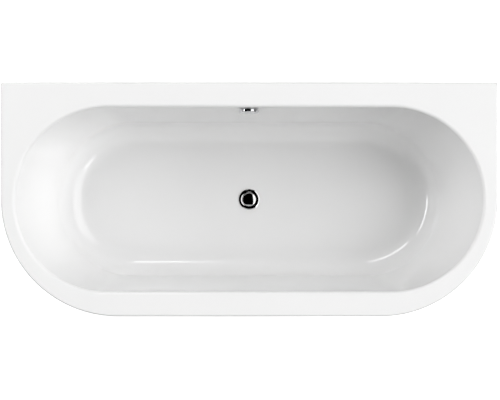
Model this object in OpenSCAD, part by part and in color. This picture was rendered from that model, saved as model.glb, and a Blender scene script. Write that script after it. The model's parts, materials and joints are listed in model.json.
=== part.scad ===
// Back-to-wall bathtub: an acrylic shell with a bonded apron, carried on a steel frame with
// levelling feet, and drained by a pop-up waste that a knob on the overflow works.
// Millimetres, +Z up. The origin is on the floor under the middle of the tub, +X runs along
// its length, and the straight back edge, at +Y, stands against the wall.

/* [Overall] */
// Length over the rim
bath_length = 1700; // [1500:10:1900]
// Depth over the rim, wall to front
bath_depth = 800; // [720:10:900]
// Height of the rim above the floor
bath_height = 600; // [560:5:680]

/* [Shell] */
// Thickness of the acrylic and its glass-fibre backing
shell_t = 5; // [4:0.5:7]
// Flat rim width at the two ends
rim_end_w = 38; // [30:1:60]
// Flat rim width at the back and the front
rim_side_w = 73; // [60:1:90]
// Height of the turned-down lip round the rim
lip_h = 40; // [30:1:60]
// Rounding of the rim's outer edge
outer_edge_r = 6; // [3:0.5:8]
// Rounding of the rim's inner edge
inner_edge_r = 12; // [8:0.5:16]
// Height of the bowl's floor above the room's floor
floor_z = 166; // [160:1:180]
// Fall of the bowl's floor to the waste
floor_fall = 6; // [3:0.5:8]
// Lean of the long walls
side_lean = 6.5; // [4:0.5:10]
// Lean of the two reclining ends
end_lean = 18; // [12:0.5:22]
// Radius between the long walls and the floor
side_cove_r = 90; // [70:1:100]
// Radius between the reclining ends and the floor
end_cove_r = 110; // [90:1:130]

/* [Apron] */
// Thickness of the apron
apron_t = 5; // [4:0.5:7]
// How far the apron draws in from its top band to its foot
apron_taper = 57; // [30:1:70]
// Gap under the apron
apron_floor_gap = 4; // [2:1:15]
// Width of the adhesive bead between the lip and the apron
bond_w = 3; // [2:0.5:4]

/* [Frame and feet] */
// Thickness of the base board
board_t = 18; // [15:1:22]
// Side of the square steel tube
tube_w = 20; // [18:1:24]
// Wall of the square steel tube
tube_t = 1.5; // [1:0.1:2.5]
// Distance from the end of the rim to a crossbar
crossbar_inset = 420; // [380:10:460]
// Distance from the long edge of the rim to an outer foot
foot_inset = 130; // [120:5:150]
// Place of the two middle feet along the tub, clear of the waste
mid_foot_x = -130; // [-220:10:-110]
// Diameter of the threaded foot stud
stud_d = 12; // [10:1:14]
// Diameter of the foot pad
pad_d = 50; // [40:1:60]
// Travel of a levelling foot
foot_travel = 25; // [15:1:30]

/* [Waste] */
// Diameter of the chrome waste flange
flange_d = 75; // [70:1:80]
// Diameter of the waste hole in the shell
waste_hole_d = 52; // [50:1:54]
// Diameter of the plug's cap
plug_d = 48; // [46:0.5:48]
// Lift of the plug
plug_lift = 10; // [6:0.5:12]
// Diameter of the plug's stem
stem_d = 8; // [6:0.5:10]

/* [Overflow] */
// Diameter of the overflow knob
knob_d = 68; // [60:1:72]
// Depth of the knob's face in front of the wall
knob_depth = 13; // [12:0.5:20]
// Distance from the rim down to the knob's centre
overflow_drop = 54; // [52:1:80]
// Diameter of the overflow hole in the shell
overflow_hole_d = 52; // [48:1:54]
// Outer diameter of the overflow hose
hose_d = 30; // [26:1:32]
// Outer diameter of the control cable
cable_d = 6; // [5:0.5:8]

/* [Trap] */
// Outer diameter of the outlet pipe
pipe_d = 40; // [38:1:42]
// Outer diameter of the trap's bend
bend_d = 42; // [38:1:44]
// Radius of the trap's bend, to its centre line
bend_r = 30; // [28:1:36]

/* [Fits] */
// Radial clearance of a turning or sliding round fit
run_fit = 0.08; // [0.05:0.01:0.1]
// Gap between faces that move apart
face_gap = 0.4; // [0.3:0.1:0.6]

/* [Hidden] */
$fn = 64;

half_l = bath_length / 2;
half_d = bath_depth / 2;
over = 1; // how far a cut runs past a face

// Bowl: every level is a stadium, worked out from a side profile and an end profile
steps = 6; // arc steps in an eighth of a turn
turn = [for (k = [-2 * steps:2 * steps]) k * 45 / steps];
edge_z = bath_height - inner_edge_r;
side_flat = half_d - rim_side_w;
end_flat = half_l - rim_end_w;

// Distance from the middle to the cove's centre
function cove_centre(flat, lean, cove_r) =
    flat - (inner_edge_r + cove_r) / cos(lean) - (edge_z - floor_z - cove_r) * tan(lean);

// Distance from the middle to the wall at height z; off is 0 inside and shell_t outside
function reach(z, off, flat, lean, cove_r) =
    let (edge = inner_edge_r - off, cove = cove_r + off, cove_z = floor_z + cove_r)
    z > edge_z + edge * sin(lean) ? flat - sqrt(max(0, edge ^ 2 - (z - edge_z) ^ 2))
    : z > cove_z - cove * sin(lean)
        ? flat - edge / cos(lean) + (z - edge_z) * tan(lean)
        : cove_centre(flat, lean, cove_r) + sqrt(max(0, cove ^ 2 - (cove_z - z) ^ 2));

function side_reach(z, off) = reach(z, off, side_flat, side_lean, side_cove_r);
function end_reach(z, off) = reach(z, off, end_flat, end_lean, end_cove_r);

// One level of the tub: two ends, centred at +c and -c, joined by straight runs
function end_point(a, c, r, square) =
    !square || a <= 0 ? [c + r * cos(a), r * sin(a)]
    : a <= 45 ? [c + r, r * tan(a)]
    : [c + r * cos(a) / sin(a), r];
function level(z, c, r, square = false) = concat(
    [for (a = turn) let (p = end_point(a, c, r, square)) [p.x, p.y, z]],
    [for (k = [len(turn) - 1:-1:0]) let (p = end_point(turn[k], c, r, square)) [-p.x, p.y, z]]);
function bowl_level(z, off) =
    level(z, end_reach(z, off) - side_reach(z, off), side_reach(z, off));
function rim_level(z, inset) = level(z, half_l - half_d, half_d - inset, true);

floor_half_d = cove_centre(side_flat, side_lean, side_cove_r);
floor_half_l = cove_centre(end_flat, end_lean, end_cove_r);
drain_z = floor_z - floor_fall;
drain_r = 46;
drain_c = 8;

// The floor, from the foot of the cove to the flat round the waste
function floor_levels(off) = [for (s = [0, 0.5, 1])
    let (r = floor_half_d + s * (drain_r - floor_half_d))
    level(floor_z - off - s * floor_fall,
        (floor_half_l - floor_half_d) * (1 - s) + drain_c * s, r)];

// The wall, from the flat rim down to just above the foot of the cove
function wall_levels(off) =
    let (edge = inner_edge_r - off, cove = end_cove_r + off)
    concat(
        [for (a = [0, 20, 40, 60, 72, 84]) bowl_level(edge_z + edge * cos(a), off)],
        [for (s = [1, 2]) bowl_level(edge_z - s * (edge_z - floor_z - end_cove_r) / 3, off)],
        [for (a = [88:-8:8]) bowl_level(floor_z - off + cove * (1 - cos(a)), off)]);

function backwards(list) = [for (k = [len(list) - 1:-1:0]) list[k]];

// Places and heights under the tub
board_top = drain_z - shell_t - 2;
board_bottom = board_top - board_t;
board_half_d = floor_half_d - 22;
board_half_l = floor_half_l - 82;
board_hole_r = 60;
tube_bottom = board_bottom - tube_w;
rail_y = board_half_d - 15;
crossbar_x = half_l - crossbar_inset;
foot_y = half_d - foot_inset;
crossbar_half = foot_y + 16;
feet = [[-crossbar_x, -foot_y], [crossbar_x, -foot_y], [crossbar_x, foot_y],
    [-crossbar_x, foot_y], [mid_foot_x, -rail_y], [mid_foot_x, rail_y]];
stud_r = stud_d / 2;
thread_r = stud_r + run_fit;
insert_r = stud_r + 2;
insert_flange_t = 2;
insert_flange_r = insert_r + 3;
locknut_h = 8;
stud_grip = 10; // thread still in the insert when a foot is wound right out
stud_top = tube_bottom + stud_grip + foot_travel;
sole_t = 4;
pad_h = 12;
stud_seat = sole_t + 4;
screw_r = 2.2;
screw_hole_r = 2.7;
screw_head_r = 4.5;
screw_head_t = 2.5;
screw_spots = concat(
    [for (x = [-0.58, 0.58], y = [-1, 1]) [x * crossbar_x, y * rail_y]],
    [for (x = [-1, 1], y = [-0.4, 0.4]) [x * crossbar_x, y * rail_y]]);

// Waste: heights above the room's floor, from the flat round the waste downwards
flange_r = flange_d / 2;
upper_seal_t = 1.5;
lower_seal_t = 4;
flange_z = drain_z + upper_seal_t;
flange_t = 3;
plug_r = plug_d / 2;
seat_z = flange_z - 0.5;
seat_r = plug_r + 0.8;
seal_t = 1.7;
cap_z = seat_z + face_gap + seal_t;
cap_t = 5;
throat_r = plug_r - 2;
neck_r = waste_hole_d / 2 - 1.1;
neck_bottom = flange_z - 32;
guide_z = neck_bottom + 2;
guide_h = 6;
stem_r = stem_d / 2;
hose_r = hose_d / 2;
hose_bore_r = hose_r - 3;
hose_z = tube_bottom - hose_r - 2;
body_bore_r = neck_r + 0.3;
body_r = body_bore_r + 3.8;
body_top = drain_z - shell_t - lower_seal_t;
body_flange_r = 40;
body_flange_t = 4;
body_floor_top = hose_z - hose_bore_r - 1;
body_floor_t = 3;
outlet_thread_r = 22;
outlet_thread_h = 12;
outlet_end = body_floor_top - body_floor_t - outlet_thread_h;
spigot_end = 50;

// Lifting lever: a cross shaft with an arm under the stem and a cable wheel outside
lever_y = 12;
lever_z = hose_z + 6;
lever_swing = asin(plug_lift / 2 / lever_y);
lever_tip_r = 2.5;
shaft_r = 3;
stem_nose_r = 1.8;
stem_nose_h = 6;
wheel_r = 10;
stem_bottom = lever_z - lever_y * sin(lever_swing) + lever_tip_r + face_gap;
case_r = 16;
case_bore_r = 13;
case_outer_x = -52;
case_inner_x = -34;
cable_r = cable_d / 2;
cable_x = -42;
cable_z = lever_z - wheel_r + cable_r;
cable_bend = 50;
cable_end = 28;
gland_end = 36;

// Overflow: local +Z is the back wall's inward normal, at the knob's centre
knob_r = knob_d / 2;
overflow_z = bath_height - overflow_drop;
overflow_y = side_reach(overflow_z, 0);
overflow_hole_r = overflow_hole_d / 2;
overflow_seal_t = 3;
overflow_back = -shell_t - overflow_seal_t;
overflow_depth = 38;
overflow_drum_r = 24;
drum_wall = 3;
plate_r = knob_r - 3;
plate_t = 2.5;
plate_neck_r = overflow_hole_r - 1;
hub_r = 7;
knob_skirt_z = plate_t + 1;
knob_face_t = 2.5;
knob_wall = 2.5;
knob_round = 3;
knob_boss_r = 8;
spindle_r = 4;
spindle_top = knob_depth - knob_face_t - 1.5;
spindle_end = overflow_back - overflow_depth + drum_wall + 3;
hose_y = overflow_y + 32;
hose_top = overflow_z - 44;
hose_bend = 60;
cable_top = overflow_z - 6;
hose_nut_r = hose_r + 5;
hose_nut_h = 24;

// Trap: a U bend along X, then an elbow towards the wall
pipe_r = pipe_d / 2;
bend_tube_r = bend_d / 2;
bend_wall = 2.6;
washer_t = 1;
collar_r = outlet_thread_r + 3;
collar_h = 5;
collar_top = outlet_end - washer_t;
nut_lip = 3;
nut_bottom = collar_top - collar_h - nut_lip;
trap_floor_gap = 9; // the bend hangs lower only where the nut above it would reach into it
bend_z = min(trap_floor_gap + bend_tube_r + bend_r, nut_bottom - 1);
outlet_x = 2 * bend_r;
outlet_z = tube_bottom - pipe_r - 7;
elbow_r = outlet_z - bend_z;
socket_y = elbow_r + 34;
socket_r = pipe_r + 4;
outlet_seal_t = 4;
pipe_wall = 2.4;
pipe_start = elbow_r + 10;
pipe_end = half_d - 5;
spigot_length = 45;
bead_r = pipe_r + 2;
bead_w = 3;
cleaning_x = outlet_x + bend_tube_r + 8;
cleaning_r = 10;

// Fixing to the wall and the apron's outline
lip_bottom = bath_height - lip_h;
apron_top = bath_height - shell_t - 3;
apron_band = lip_bottom - 5;
apron_inset = shell_t + bond_w;
apron_back = half_d - shell_t - 1;
batten_t = 18;
batten_w = 45;
batten_edge = 15;
hook_w = 60;
hook_x = 350;
hook_t = 3;
hook_drop = 60;
hook_hole_r = 3;
hook_hole_gap = 36;
hook_play = 0.5;

// ---- Helpers ----

// A closed solid through a row of levels, which run anticlockwise seen from above. With
// strip set, a level is a band whose point i faces point m - 1 - i, and its ends are quads.
module loft(levels, looped = false, strip = false) {
    m = len(levels[0]);
    n = len(levels);
    last = (n - 1) * m;
    sides = [for (k = [0:looped ? n - 1 : n - 2], i = [0:m - 1])
        let (j = (i + 1) % m, low = k * m, high = (k + 1) % n * m)
        each [[low + i, high + j, low + j], [low + i, high + i, high + j]]];
    caps = looped ? []
        : !strip ? [[for (i = [0:m - 1]) i], [for (i = [m - 1:-1:0]) last + i]]
        : [for (i = [0:m / 2 - 2]) each [
            [i, i + 1, m - 2 - i, m - 1 - i],
            [last + m - 1 - i, last + m - 2 - i, last + i + 1, last + i]]];
    polyhedron([for (row = levels, p = row) p], concat(sides, caps));
}

// A round bar between two heights
module bar(r, z0, z1) { translate([0, 0, z0]) cylinder(r = r, h = z1 - z0); }

// A flat ring between two heights
module ring(outer, inner, z0, z1) {
    difference() {
        bar(outer, z0, z1);
        bar(inner, z0 - over, z1 + over);
    }
}

// Children's Z turned to run along +X or along +Y
module along_x() { rotate([0, 90, 0]) children(); }
module along_y() { rotate([-90, 0, 0]) children(); }

module hexagon(flats, h) { cylinder(d = flats / cos(30), h = h, $fn = 6); }

module at_overflow() {
    translate([0, overflow_y, overflow_z]) rotate([90 - side_lean, 0, 0]) children();
}

// The left or the right half of an outline from the apron's back edge round to the front
function u_path(inset, z) =
    let (c = half_l - half_d, r = half_d - inset, bend = [for (a = turn) if (a <= 0) a])
    concat([[-c - r, apron_back, z]], [for (a = backwards(bend)) [-c - r * cos(a), r * sin(a), z]],
        [for (a = bend) [c + r * cos(a), r * sin(a), z]], [[c + r, apron_back, z]]);
function u_level(inset, t, z) = concat(u_path(inset, z), backwards(u_path(inset + t, z)));
function flat_points(list) = [for (p = list) [p.x, p.y]];

// ---- Tub ----

// The rim's flat and its rounded outer edge, from the flat outwards
function edge_levels() = [for (a = [90:-22.5:0])
    rim_level(bath_height - outer_edge_r * (1 - sin(a)), outer_edge_r * (1 - cos(a)))];

// One loft: along the underside from the waste to the lip, over the rim and down the bowl
module bath_shell() {
    under = concat(backwards(floor_levels(shell_t)), backwards(wall_levels(shell_t)));
    lip = [rim_level(bath_height - shell_t, shell_t), rim_level(lip_bottom, shell_t),
        rim_level(lip_bottom, 0)];
    top = concat(wall_levels(0), floor_levels(0));
    color("white") difference() {
        loft(concat(under, lip, backwards(edge_levels()), top));
        bar(waste_hole_d / 2, drain_z - 3 * shell_t, drain_z + over);
        at_overflow() bar(overflow_hole_r, -2 * shell_t, 2 * over);
    }
}

module apron() {
    span = apron_band - apron_floor_gap;
    taper = [for (s = [1, 0.8, 0.65, 0.5, 0.35, 0.2, 0.1, 0])
        u_level(apron_inset + apron_taper * s ^ 1.25, apron_t, apron_band - s * span)];
    color("white") loft(concat(taper, [u_level(apron_inset, apron_t, apron_top)]), strip = true);
}

module rim_bond() {
    color("gainsboro") translate([0, 0, lip_bottom + 3]) linear_extrude(lip_h - shell_t - 7)
        polygon(flat_points(u_level(shell_t, bond_w, 0)));
}

module floor_reinforcement() {
    under = floor_levels(shell_t);
    flat = [for (row = under) [for (p = row) [p.x, p.y, board_top]]];
    color("darkkhaki") loft(concat([flat[0]], under, [flat[2], flat[1]]), looped = true);
}

module base_board() {
    corner_r = 40;
    color("peru") translate([0, 0, board_bottom]) difference() {
        linear_extrude(board_t) {
            square([2 * board_half_l, 2 * (board_half_d - corner_r)], center = true);
            square([2 * (board_half_l - corner_r), 2 * board_half_d], center = true);
            for (x = [-1, 1], y = [-1, 1])
                translate([x * (board_half_l - corner_r), y * (board_half_d - corner_r)])
                    circle(corner_r);
        }
        bar(board_hole_r, -over, board_t + over);
        for (x = [4, 5]) translate([feet[x].x, feet[x].y, 0]) bar(stud_r + 2, -over, board_t + over);
        for (p = screw_spots) translate([p.x, p.y, 0]) bar(screw_r, -over, board_t - 4);
    }
}

module rim_batten(side) {
    length = 2 * (half_l - half_d);
    middle = side * (half_d - batten_edge - batten_w / 2);
    color("burlywood") translate([0, middle, bath_height - shell_t - batten_t / 2])
        cube([length, batten_w, batten_t], center = true);
}

// ---- Frame ----

// A square tube along X, its underside at z = 0
module square_tube(length) {
    translate([0, 0, tube_w / 2]) difference() {
        cube([length, tube_w, tube_w], center = true);
        cube([length + 2 * over, tube_w - 2 * tube_t, tube_w - 2 * tube_t], center = true);
    }
}

// The holes of every foot and screw, cut through whatever tube they cross
module frame_holes() {
    for (p = feet) translate([p.x, p.y, 0]) bar(insert_r, tube_bottom - over, board_bottom + over);
    for (p = screw_spots)
        translate([p.x, p.y, 0]) bar(screw_hole_r, tube_bottom - over, board_bottom + over);
}

module frame_rail(side) {
    color("silver") difference() {
        translate([0, side * rail_y, tube_bottom]) square_tube(2 * crossbar_x - tube_w);
        frame_holes();
    }
}

module crossbar(side) {
    color("silver") difference() {
        translate([side * crossbar_x, 0, tube_bottom]) rotate(90) square_tube(2 * crossbar_half);
        frame_holes();
    }
}

module foot_inserts() {
    color("goldenrod") for (p = feet) translate([p.x, p.y, 0]) difference() {
        union() {
            bar(insert_r, tube_bottom, board_bottom);
            bar(insert_flange_r, tube_bottom - insert_flange_t, tube_bottom);
        }
        bar(thread_r, tube_bottom - insert_flange_t - over, board_bottom + over);
    }
}

module foot_locknuts() {
    top = tube_bottom - insert_flange_t;
    color("silver") for (p = feet) translate([p.x, p.y, top - locknut_h]) difference() {
        hexagon(1.6 * stud_d, locknut_h);
        bar(thread_r, -over, locknut_h + over);
    }
}

module frame_screws() {
    color("gold") for (p = screw_spots) translate([p.x, p.y, tube_bottom]) {
        bar(screw_head_r, -screw_head_t, 0);
        bar(screw_r, 0, tube_w + board_t - 5);
    }
}

module foot_stud(k) {
    collar_z = sole_t + pad_h + 3;
    color("silver") translate([feet[k].x, feet[k].y, 0]) {
        bar(stud_r, stud_seat, stud_top);
        translate([0, 0, collar_z]) hexagon(1.4 * stud_d, 7);
    }
}

module foot_pad(k) {
    color("dimgray") translate([feet[k].x, feet[k].y, sole_t]) difference() {
        cylinder(r1 = pad_d / 2, r2 = stud_d, h = pad_h);
        bar(stud_r, stud_seat - sole_t, pad_h + over);
    }
}

module foot_sole(k) {
    color("black") translate([feet[k].x, feet[k].y, 0]) bar(pad_d / 2 - 1, 0, sole_t);
}

// ---- Waste ----

// The chrome flange: a domed ring with a recessed seat, its threaded neck and a stem guide
module waste_flange() {
    color("lightgray") difference() {
        union() {
            translate([0, 0, flange_z]) rotate_extrude() {
                square([flange_r - flange_t, flange_t]);
                translate([flange_r - flange_t, 0]) intersection() {
                    circle(flange_t);
                    square(flange_t);
                }
            }
            bar(neck_r, neck_bottom, flange_z);
        }
        bar(seat_r, seat_z, flange_z + flange_t + over);
        bar(throat_r, guide_z + guide_h, seat_z + over);
        difference() {
            bar(throat_r, neck_bottom - over, guide_z + guide_h + over);
            bar(stem_r + 4, guide_z, guide_z + guide_h);
            for (a = [0, 120, 240]) rotate(a)
                translate([0, -2, guide_z]) cube([throat_r + over, 4, guide_h]);
        }
        bar(stem_r + run_fit, neck_bottom - over, guide_z + guide_h + over);
    }
}

module waste_upper_seal() {
    color("dimgray") ring(flange_r - 1.5, waste_hole_d / 2 + 1, drain_z, flange_z);
}

module waste_lower_seal() {
    color("dimgray") ring(body_flange_r, waste_hole_d / 2 + 1, body_top, drain_z - shell_t);
}

module waste_body() {
    color("whitesmoke") difference() {
        union() {
            bar(body_flange_r, body_top - body_flange_t, body_top);
            bar(body_r, body_floor_top - body_floor_t, body_top - body_flange_t);
            bar(outlet_thread_r, outlet_end, body_floor_top);
            translate([0, 0, hose_z]) along_y() bar(hose_r, 0, spigot_end);
            translate([0, lever_y, lever_z]) along_x() bar(case_r, case_outer_x, -body_r + 5);
            translate([cable_x, 0, cable_z]) along_y() bar(cable_r + 3, lever_y, gland_end);
        }
        bar(body_bore_r, body_floor_top, body_top + over);
        bar(outlet_thread_r - 4, outlet_end - over, body_floor_top + over);
        translate([0, 0, hose_z]) along_y() bar(hose_bore_r, 0, spigot_end + over);
        translate([0, lever_y, lever_z]) along_x() {
            bar(case_bore_r, case_outer_x - over, case_inner_x);
            bar(shaft_r + run_fit, case_inner_x - over, 0);
        }
        translate([cable_x, 0, cable_z]) along_y() bar(cable_r, lever_y, gland_end + over);
    }
}

module plug_cap() {
    dome_r = (plug_r ^ 2 + cap_t ^ 2) / (2 * cap_t);
    color("lightgray") translate([0, 0, cap_z]) rotate_extrude() intersection() {
        translate([0, cap_t - dome_r]) circle(dome_r, $fn = 256);
        square([plug_r, cap_t]);
    }
}

module plug_seal() { color("black") ring(plug_r - 0.4, stem_r + 2, cap_z - seal_t, cap_z); }

module plug_stem() {
    color("silver") {
        bar(stem_nose_r, stem_bottom, stem_bottom + stem_nose_h);
        bar(stem_r, stem_bottom + stem_nose_h, cap_z);
        bar(stem_r + 2, cap_z - seal_t, cap_z);
    }
}

module lift_lever() {
    color("silver") translate([0, lever_y, lever_z]) {
        along_x() {
            bar(shaft_r, case_inner_x - 3, 6);
            bar(wheel_r, case_outer_x + 4, case_inner_x - 2);
        }
        rotate([lever_swing, 0, 0]) {
            translate([-3, -lever_y, -1.8]) cube([6, lever_y, 3.6]);
            translate([0, -lever_y, 0]) along_x() bar(lever_tip_r, -3, 3);
        }
    }
}

module lever_cover() {
    color("whitesmoke") translate([0, lever_y, lever_z]) along_x() {
        bar(case_r, case_outer_x - 3, case_outer_x);
        bar(case_bore_r, case_outer_x, case_outer_x + 2.5);
    }
}

// ---- Overflow ----

module overflow_body() {
    color("whitesmoke") difference() {
        union() {
            at_overflow() {
                bar(overflow_drum_r + 6, overflow_back - 4, overflow_back);
                bar(overflow_drum_r, overflow_back - overflow_depth, overflow_back - 4);
            }
            translate([0, hose_y, 0]) bar(hose_r, hose_top, overflow_z - 10);
            translate([0, hose_y, cable_top]) along_x() bar(8, cable_x - 7, -10);
        }
        at_overflow() {
            bar(overflow_hole_r - 0.4, overflow_back - 6, over);
            bar(overflow_drum_r - drum_wall, overflow_back - overflow_depth + drum_wall, over);
        }
        translate([0, hose_y, 0]) bar(hose_bore_r, hose_top - over, overflow_z - 15);
        translate([cable_x, hose_y, 0]) bar(cable_r, hose_top, cable_top);
    }
}

module overflow_seal() {
    color("dimgray") at_overflow()
        ring(overflow_drum_r + 5, overflow_hole_r + 0.5, overflow_back, -shell_t);
}

module overflow_plate() {
    color("silver") at_overflow() difference() {
        union() {
            ring(plate_r, plate_neck_r - 3, 0, plate_t);
            ring(plate_neck_r, plate_neck_r - 2.5, overflow_back - 4, plate_t);
            bar(hub_r, -6, plate_t);
            for (a = [30, 150, 270]) rotate(a)
                translate([hub_r - 2, -2, -4]) cube([plate_neck_r - hub_r + 0.5, 4, 4]);
        }
        bar(spindle_r + run_fit, -6 - over, plate_t + over);
    }
}

module overflow_knob() {
    skirt = knob_depth - knob_round - knob_skirt_z;
    color("lightgray") at_overflow() difference() {
        rotate_extrude() {
            translate([0, knob_skirt_z]) square([knob_r, skirt]);
            translate([0, knob_skirt_z]) square([knob_r - knob_round, skirt + knob_round]);
            translate([knob_r - knob_round, knob_depth - knob_round]) circle(knob_round);
        }
        ring(knob_r - knob_wall, knob_boss_r, 0, knob_depth - knob_face_t);
        bar(knob_boss_r + over, 0, knob_skirt_z + face_gap);
        bar(spindle_r, 0, spindle_top);
    }
}

module knob_spindle() {
    color("silver") at_overflow() {
        bar(spindle_r, spindle_end, spindle_top);
        bar(14, spindle_end, spindle_end + 10);
    }
}

module spindle_clip() {
    color("silver") at_overflow() ring(spindle_r + 3, spindle_r, -7.6, -6 - face_gap);
}

// A vertical run, a quarter bend and a level run towards the front, as one round bar
module drop_and_turn(r, x, z_top, z_low, bend, y_end) {
    translate([x, hose_y, 0]) bar(r, z_low + bend, z_top);
    translate([x, hose_y - bend, z_low + bend]) rotate([-90, 0, 90])
        rotate_extrude(angle = 90) translate([bend, 0]) circle(r);
    translate([x, 0, z_low]) along_y() bar(r, y_end, hose_y - bend);
}

module control_cable() {
    color("black") drop_and_turn(cable_r, cable_x, cable_top, cable_z, cable_bend, cable_end);
}

module overflow_hose() {
    color("gray") difference() {
        drop_and_turn(hose_r, 0, hose_top, hose_z, hose_bend, spigot_end);
        drop_and_turn(hose_bore_r, 0, hose_top + over, hose_z, hose_bend, spigot_end - over);
    }
}

module upper_hose_nut() {
    color("dimgray") translate([0, hose_y, 0])
        ring(hose_nut_r, hose_r, hose_top - hose_nut_h / 2, hose_top + hose_nut_h / 2 - 2);
}

module lower_hose_nut() {
    color("dimgray") translate([0, 0, hose_z]) along_y()
        ring(hose_nut_r, hose_r, spigot_end - hose_nut_h / 2, spigot_end + hose_nut_h / 2);
}

// ---- Trap ----

module trap_bends(r) {
    translate([bend_r, 0, bend_z]) rotate([-90, 0, 180])
        rotate_extrude(angle = 180) translate([bend_r, 0]) circle(r);
    translate([outlet_x, elbow_r, bend_z]) rotate([90, 0, -90])
        rotate_extrude(angle = 90) translate([elbow_r, 0]) circle(r);
}

module trap_body() {
    bore = bend_tube_r - bend_wall;
    color("whitesmoke") difference() {
        union() {
            trap_bends(bend_tube_r);
            bar(bend_tube_r, bend_z, collar_top);
            bar(collar_r, collar_top - collar_h, collar_top);
            translate([outlet_x, 0, outlet_z]) along_y() {
                bar(bend_tube_r, elbow_r, pipe_start);
                bar(socket_r, pipe_start - 4, socket_y);
            }
            translate([0, 0, bend_z]) along_x() bar(cleaning_r + 3, outlet_x + 8, cleaning_x);
        }
        trap_bends(bore);
        bar(bore, bend_z, collar_top + over);
        translate([outlet_x, 0, outlet_z]) along_y() {
            bar(bore, elbow_r, pipe_start + over);
            bar(pipe_r, pipe_start, socket_y + over);
        }
        translate([0, 0, bend_z]) along_x() bar(cleaning_r, outlet_x, cleaning_x + over);
    }
}

module trap_washer() { color("black") ring(collar_r, outlet_thread_r - 4, collar_top, outlet_end); }

module trap_nut() {
    color("dimgray") difference() {
        bar(collar_r + 5, nut_bottom, body_floor_top - body_floor_t - 1);
        bar(bend_tube_r, nut_bottom - over, body_floor_top);
        bar(collar_r, nut_bottom + nut_lip, outlet_end);
        bar(outlet_thread_r, outlet_end - over, body_floor_top);
    }
}

module trap_cleaning_cap() {
    color("dimgray") translate([0, 0, bend_z]) along_x() {
        bar(cleaning_r, cleaning_x - 7, cleaning_x);
        bar(cleaning_r + 5, cleaning_x, cleaning_x + 4);
    }
}

module outlet_seal() {
    color("black") translate([outlet_x, 0, outlet_z]) along_y()
        ring(socket_r, pipe_r, socket_y, socket_y + outlet_seal_t);
}

module outlet_nut() {
    lip = socket_y + outlet_seal_t;
    color("dimgray") translate([outlet_x, 0, outlet_z]) along_y() difference() {
        bar(socket_r + 5, lip - 20, lip + 3);
        bar(socket_r, lip - 20 - over, lip);
        bar(pipe_r, lip - over, lip + 3 + over);
    }
}

module outlet_pipe() {
    bead_end = pipe_end - spigot_length;
    color("whitesmoke") translate([outlet_x, 0, outlet_z]) along_y() difference() {
        union() {
            bar(pipe_r, pipe_start, pipe_end);
            bar(bead_r, bead_end - bead_w, bead_end);
        }
        bar(pipe_r - pipe_wall, pipe_start - over, pipe_end + over);
    }
}

// ---- Wall ----

// A hook that carries the lip of the back rim and reaches up behind it
module wall_hook(side) {
    tongue = half_d - shell_t - hook_play;
    profile = [[half_d - hook_t, lip_bottom - hook_drop], [half_d, lip_bottom - hook_drop],
        [half_d, lip_bottom], [tongue, lip_bottom], [tongue, lip_bottom + 25],
        [tongue - hook_t, lip_bottom + 25], [tongue - hook_t, lip_bottom - hook_t],
        [half_d - hook_t, lip_bottom - hook_t]];
    color("silver") translate([side * hook_x, 0, 0]) difference() {
        translate([-hook_w / 2, 0, 0]) rotate([90, 0, 90]) linear_extrude(hook_w) polygon(profile);
        for (x = [-1, 1])
            translate([x * hook_hole_gap / 2, 0, lip_bottom - hook_drop + 15]) along_y()
                bar(hook_hole_r, half_d - hook_t - over, half_d + over);
    }
}

bath_shell();
apron();
rim_bond();
floor_reinforcement();
base_board();
rim_batten(-1);  // front_rim_batten
rim_batten(1);  // back_rim_batten
frame_rail(-1);  // front_frame_rail
frame_rail(1);  // back_frame_rail
crossbar(-1);  // left_crossbar
crossbar(1);  // right_crossbar
foot_inserts();
foot_locknuts();
frame_screws();
foot_stud(0);  // foot_stud_1
foot_stud(1);  // foot_stud_2
foot_stud(2);  // foot_stud_3
foot_stud(3);  // foot_stud_4
foot_stud(4);  // foot_stud_5
foot_stud(5);  // foot_stud_6
foot_pad(0);  // foot_pad_1
foot_pad(1);  // foot_pad_2
foot_pad(2);  // foot_pad_3
foot_pad(3);  // foot_pad_4
foot_pad(4);  // foot_pad_5
foot_pad(5);  // foot_pad_6
foot_sole(0);  // foot_sole_1
foot_sole(1);  // foot_sole_2
foot_sole(2);  // foot_sole_3
foot_sole(3);  // foot_sole_4
foot_sole(4);  // foot_sole_5
foot_sole(5);  // foot_sole_6
waste_flange();
waste_upper_seal();
waste_lower_seal();
waste_body();
plug_cap();
plug_seal();
plug_stem();
lift_lever();
lever_cover();
overflow_body();
overflow_seal();
overflow_plate();
overflow_knob();
knob_spindle();
spindle_clip();
control_cable();
overflow_hose();
upper_hose_nut();
lower_hose_nut();
trap_nut();
trap_washer();
trap_body();
trap_cleaning_cap();
outlet_nut();
outlet_seal();
outlet_pipe();
wall_hook(-1);  // left_wall_hook
wall_hook(1);  // right_wall_hook
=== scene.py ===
"""A back-to-wall bathtub: a white acrylic shell and apron on a steel frame with levelling feet,
a chrome pop-up waste, an overflow knob, and the pipes and trap under the tub.

Metres, +Z up. The straight back edge, at +Y, stands against the wall."""
import json
from math import asin, cos, pi, radians, sin, sqrt, tan

import bmesh
import bpy
from mathutils import Matrix, Vector


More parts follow.
